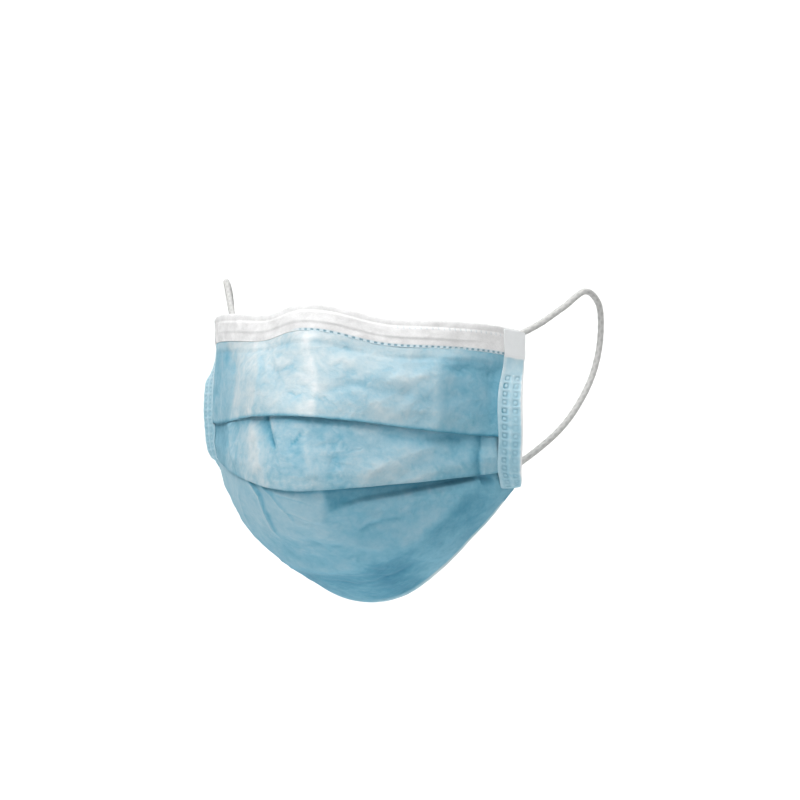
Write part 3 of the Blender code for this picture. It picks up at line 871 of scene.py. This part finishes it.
class Finish:
    """A material that is put together from nodes."""

    def __init__(self, name, roughness, sheen):
        self.material = bpy.data.materials.new(name)
        self.material.use_nodes = True
        self.tree = self.material.node_tree
        self.shader = self.tree.nodes["Principled BSDF"]
        put(self.shader, Roughness=roughness, Specular_IOR_Level=0.25)
        put(self.shader, Sheen_Weight=sheen, Sheen_Roughness=0.5)

    def node(self, kind, **settings):
        made = self.tree.nodes.new(kind)
        for key, value in settings.items():
            setattr(made, key, value)
        return made

    def link(self, source, target):
        self.tree.links.new(source, target)

    def attribute(self, name, output="Fac"):
        """What note() kept for each point of the piece."""
        return self.node("ShaderNodeAttribute", attribute_name=name).outputs[output]

    def noise(self, scale, detail, rough, distortion=0.0, shift=0.0, source=None):
        """Noise read at the places kept for the cloth, or at source, which scale stretches."""
        made = self.node("ShaderNodeTexNoise")
        put(made, Scale=1.0, Detail=detail, Roughness=rough, Distortion=distortion)
        mapping = self.node("ShaderNodeMapping")
        put(mapping, Scale=scale, Location=(shift, shift, shift))
        self.link(source or self.attribute("cloth", "Vector"), mapping.inputs["Vector"])
        self.link(mapping.outputs["Vector"], made.inputs["Vector"])
        return made.outputs["Fac"]

    def lines(self, scale, sharp, shift=0.0):
        """Thin wandering lines where smooth noise crosses its middle: 1 on a line, 0 away from it."""
        noise = self.noise(scale, detail=1.5, rough=0.5, distortion=0.5, shift=shift)
        away = self.math("ABSOLUTE", self.math("SUBTRACT", noise, 0.5), 0.0)
        return self.math("SUBTRACT", 1.0, self.math("MULTIPLY", away, sharp), clamp=True)

    def math(self, way, first, second, clamp=False):
        made = self.node("ShaderNodeMath", operation=way, use_clamp=clamp)
        for socket, value in zip(made.inputs, (first, second)):
            if isinstance(value, (int, float)):
                socket.default_value = value
            else:
                self.link(value, socket)
        return made.outputs["Value"]

    def ramp(self, value, stops):
        """Colours for a value; stops are (value, colour)."""
        made = self.node("ShaderNodeValToRGB")
        made.color_ramp.interpolation = "LINEAR"
        elements = made.color_ramp.elements
        while len(elements) < len(stops):
            elements.new(0.5)
        for element, (place, colour) in zip(elements, stops):
            element.position = place
            element.color = colour
        self.link(value, made.inputs["Fac"])
        return made.outputs["Color"]

    def mix(self, share, first, second):
        made = self.node("ShaderNodeMix", data_type="RGBA")
        for socket, value in ((made.inputs[0], share), (made.inputs[6], first), (made.inputs[7], second)):
            if isinstance(value, (int, float, tuple)):
                socket.default_value = value
            else:
                self.link(value, socket)
        return made.outputs[2]

    def bump(self, heights):
        """Fine relief; heights are (value, depth in metres)."""
        last = None
        for value, depth in heights:
            made = self.node("ShaderNodeBump")
            put(made, Distance=depth, Strength=1.0)
            self.link(value, made.inputs["Height"])
            if last:
                self.link(last, made.inputs["Normal"])
            last = made.outputs["Normal"]
        self.link(last, self.shader.inputs["Normal"])

    def colour(self, value):
        self.link(value, self.shader.inputs["Base Color"])


def blue_cloth():
    """Thin blue cloth, mottled, with a net of pressed lines in places."""
    finish = Finish("blue_cloth", 0.84, sheen=0.08)
    # A little light passes into the thin cloth
    put(finish.shader, Subsurface_Weight=0.15, Subsurface_Radius=(0.9, 0.95, 1.0), Subsurface_Scale=1.0 * MM)
    clouds = finish.noise((130, 130, 165), detail=3, rough=0.6, distortion=0.3)
    fine = finish.noise((480, 480, 500), detail=4, rough=0.6)
    fibres = finish.noise((1500, 1500, 2600), detail=2, rough=0.6, distortion=0.4)
    net = finish.math("MAXIMUM", finish.lines((110, 110, 160), 9.0), finish.lines((150, 150, 140), 8.0, 7.0))
    places = finish.noise((60, 60, 70), detail=1, rough=0.5)
    places = finish.math("MULTIPLY", finish.math("SUBTRACT", places, 0.42), 6.0, clamp=True)
    net = finish.math("MULTIPLY", net, places)
    # The tone kept for each point, with the painted light and shade in it
    pale = finish.attribute("pale")
    mottled = finish.attribute("mottled")
    value = pale
    parts = ((clouds, 0.5, 0.62), (fine, 0.5, 0.34), (fibres, 0.5, 0.10), (net, 0.1, -0.13))
    for source, middle, amount in parts:
        part = finish.math("MULTIPLY", finish.math("SUBTRACT", source, middle), amount)
        value = finish.math("ADD", value, finish.math("MULTIPLY", part, mottled))
    value = finish.math("ADD", finish.math("MULTIPLY", value, 0.8), 0.2)
    colour = finish.ramp(value, [
        (0.00, linear(54, 120, 146)),
        (0.20, linear(80, 143, 166)),
        (0.40, linear(114, 168, 188)),
        (0.60, linear(154, 187, 200)),
        (0.80, linear(188, 203, 208)),
        (1.00, linear(213, 218, 220)),
    ])
    finish.colour(finish.mix(finish.attribute("weld"), colour, linear(140, 176, 192)))
    finish.bump([(net, -0.00007), (clouds, 0.0004), (fine, 0.00018), (fibres, 0.00004)])
    return finish.material


def white_cloth(name, colour, weld_colour=None):
    """White cloth; with a weld colour it also has welds, and a band where the blue shows through."""
    finish = Finish(name, 0.80, sheen=0.10)
    clouds = finish.noise((150, 180, 180), detail=4, rough=0.6)
    fibres = finish.noise((1400, 3600, 3600), detail=3, rough=0.6, distortion=0.4)
    value = finish.math("ADD", finish.math("MULTIPLY", clouds, 0.7), finish.math("MULTIPLY", fibres, 0.3))
    shade = tuple(c * 0.86 for c in colour)
    made = finish.ramp(value, [(0.30, linear(*shade)), (0.65, linear(*colour))])
    if weld_colour:
        made = finish.mix(finish.attribute("sheer"), made, linear(200, 216, 223))
        made = finish.mix(finish.attribute("weld"), made, linear(*weld_colour))
    finish.colour(made)
    finish.bump([(clouds, 0.00012), (fibres, 0.00005)])
    return finish.material


def strip_cloth():
    """Pale blue cloth that is deeper where rings are pressed into it."""
    finish = Finish("strip_cloth", 0.72, sheen=0.08)
    clouds = finish.noise((260, 300, 1), detail=4, rough=0.6)
    fibres = finish.noise((2200, 1400, 1), detail=3, rough=0.6)
    # The tone kept for each point carries the strip's painted highlights and painted light
    pale = finish.attribute("pale")
    value = finish.math("ADD", pale, finish.math("MULTIPLY", finish.math("SUBTRACT", clouds, 0.5), 0.55))
    colour = finish.ramp(value, [
        (0.00, linear(146, 190, 206)),
        (0.35, linear(182, 212, 223)),
        (0.80, linear(234, 237, 238)),
    ])
    pressed = finish.math("MULTIPLY", finish.attribute("pressed"), 0.50)
    finish.colour(finish.mix(pressed, colour, linear(114, 164, 185)))
    finish.bump([(clouds, 0.00008), (fibres, 0.00004)])
    return finish.material


def elastic():
    """White knitted elastic, painted grey as shade over the whole cord and darker between its strands as
    painted shade.
    """
    finish = Finish("elastic_cord", 0.62, sheen=0.15)
    source = finish.node("ShaderNodeTexCoord").outputs["Object"]
    fuzz = finish.noise((2600, 2600, 2600), detail=3, rough=0.6, source=source)
    strand = finish.attribute("strand")
    value = finish.math("ADD", finish.math("MULTIPLY", strand, 0.35), finish.math("MULTIPLY", fuzz, 0.6))
    # Grey, not white: painted shade over the whole cord, darker still between the strands
    finish.colour(finish.ramp(value, [(0.0, linear(170, 170, 169)), (0.7, linear(192, 192, 190))]))
    finish.bump([(fuzz, 0.00008)])
    return finish.material


def make_backdrop():
    """A pale floor that curves up behind without a seam."""
    bend_from, bend, steps = 0.4, 0.5, 12
    half_width, top, below = 1.6, 1.6, 0.30
    path = [(-1.2, 0.0), (bend_from, 0.0)]
    for step in range(1, steps + 1):
        angle = math.pi / 2 * step / steps
        path.append((bend_from + bend * math.sin(angle), bend * (1 - math.cos(angle))))
    path.append((bend_from + bend, top))
    turn = math.radians(VIEW_TURN)
    across = np.linspace(-half_width, half_width, 9)
    points = np.empty((len(path), len(across), 3))
    for row, (back, rise) in enumerate(path):
        for column, side in enumerate(across):
            points[row, column] = (
                side * math.cos(turn) - back * math.sin(turn),
                side * math.sin(turn) + back * math.cos(turn),
                rise - below,
            )
    floor = grid_mesh("backdrop", points)
    material = bpy.data.materials.new("backdrop")
    material.use_nodes = True
    shader = material.node_tree.nodes["Principled BSDF"]
    put(shader, Base_Color=(0.93, 0.93, 0.93, 1.0), Roughness=0.9, Specular_IOR_Level=0.1)
    floor.data.materials.append(material)


def area_light(name, turn, rise, distance, size, power, target=(0.0, 0.02, -0.05)):
    """A soft square lamp that stands off its target, turn and rise as in direction()."""
    way = direction(turn, rise)
    data = bpy.data.lights.new(name, "AREA")
    data.shape = "SQUARE"
    data.size = size
    data.energy = power
    lamp = bpy.data.objects.new(name, data)
    lamp.location = Vector(target) + way * distance
    lamp.rotation_euler = way.to_track_quat("Z", "Y").to_euler()
    bpy.context.scene.collection.objects.link(lamp)


def make_lights():
    world = bpy.data.worlds.new("studio")
    world.use_nodes = True
    put(world.node_tree.nodes["Background"], Color=(1.0, 1.0, 1.0, 1.0), Strength=0.17)
    bpy.context.scene.world = world
    area_light("key", -24, 46, 1.3, 0.45, 9.0)
    area_light("fill", 42, 30, 1.4, 0.9, 4.0)
    area_light("backdrop_light", VIEW_TURN, 50, 1.2, 1.2, 14.0, target=(-0.2, 0.8, 0.1))
    bpy.context.scene.view_settings.view_transform = "Standard"


def carry(piece, slot, *nodes):
    """Let a piece ride on the part's one body, in place of the model's nodes."""
    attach(piece, "root")
    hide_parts(*nodes)


def main():
    make_camera()
    cord_finish = elastic()
    for word, side in SIDES:
        loop = make_ear_loop(f"ear_loop_{word}_cord", side, cord_finish)
        carry(loop, "elastic", f"ear_loop_{word}")
    blue = blue_cloth()
    inner = white_cloth("inner_cloth", (238, 240, 240))
    white = white_cloth("white_cloth", (236, 236, 236), (104, 148, 166))
    tape = strip_cloth()
    body = make_body([blue, inner])
    carry(body, "blue_cloth", "mask_body")
    band = make_top_binding([white, white])
    carry(band, "white_cloth", "top_binding")
    for word, side in SIDES:
        strip = make_side_binding(f"side_binding_{word}_cloth", side, [tape, tape])
        carry(strip, "pale_cloth", f"side_binding_{word}")
    make_backdrop()
    make_lights()
    bpy.context.view_layer.update()


main()
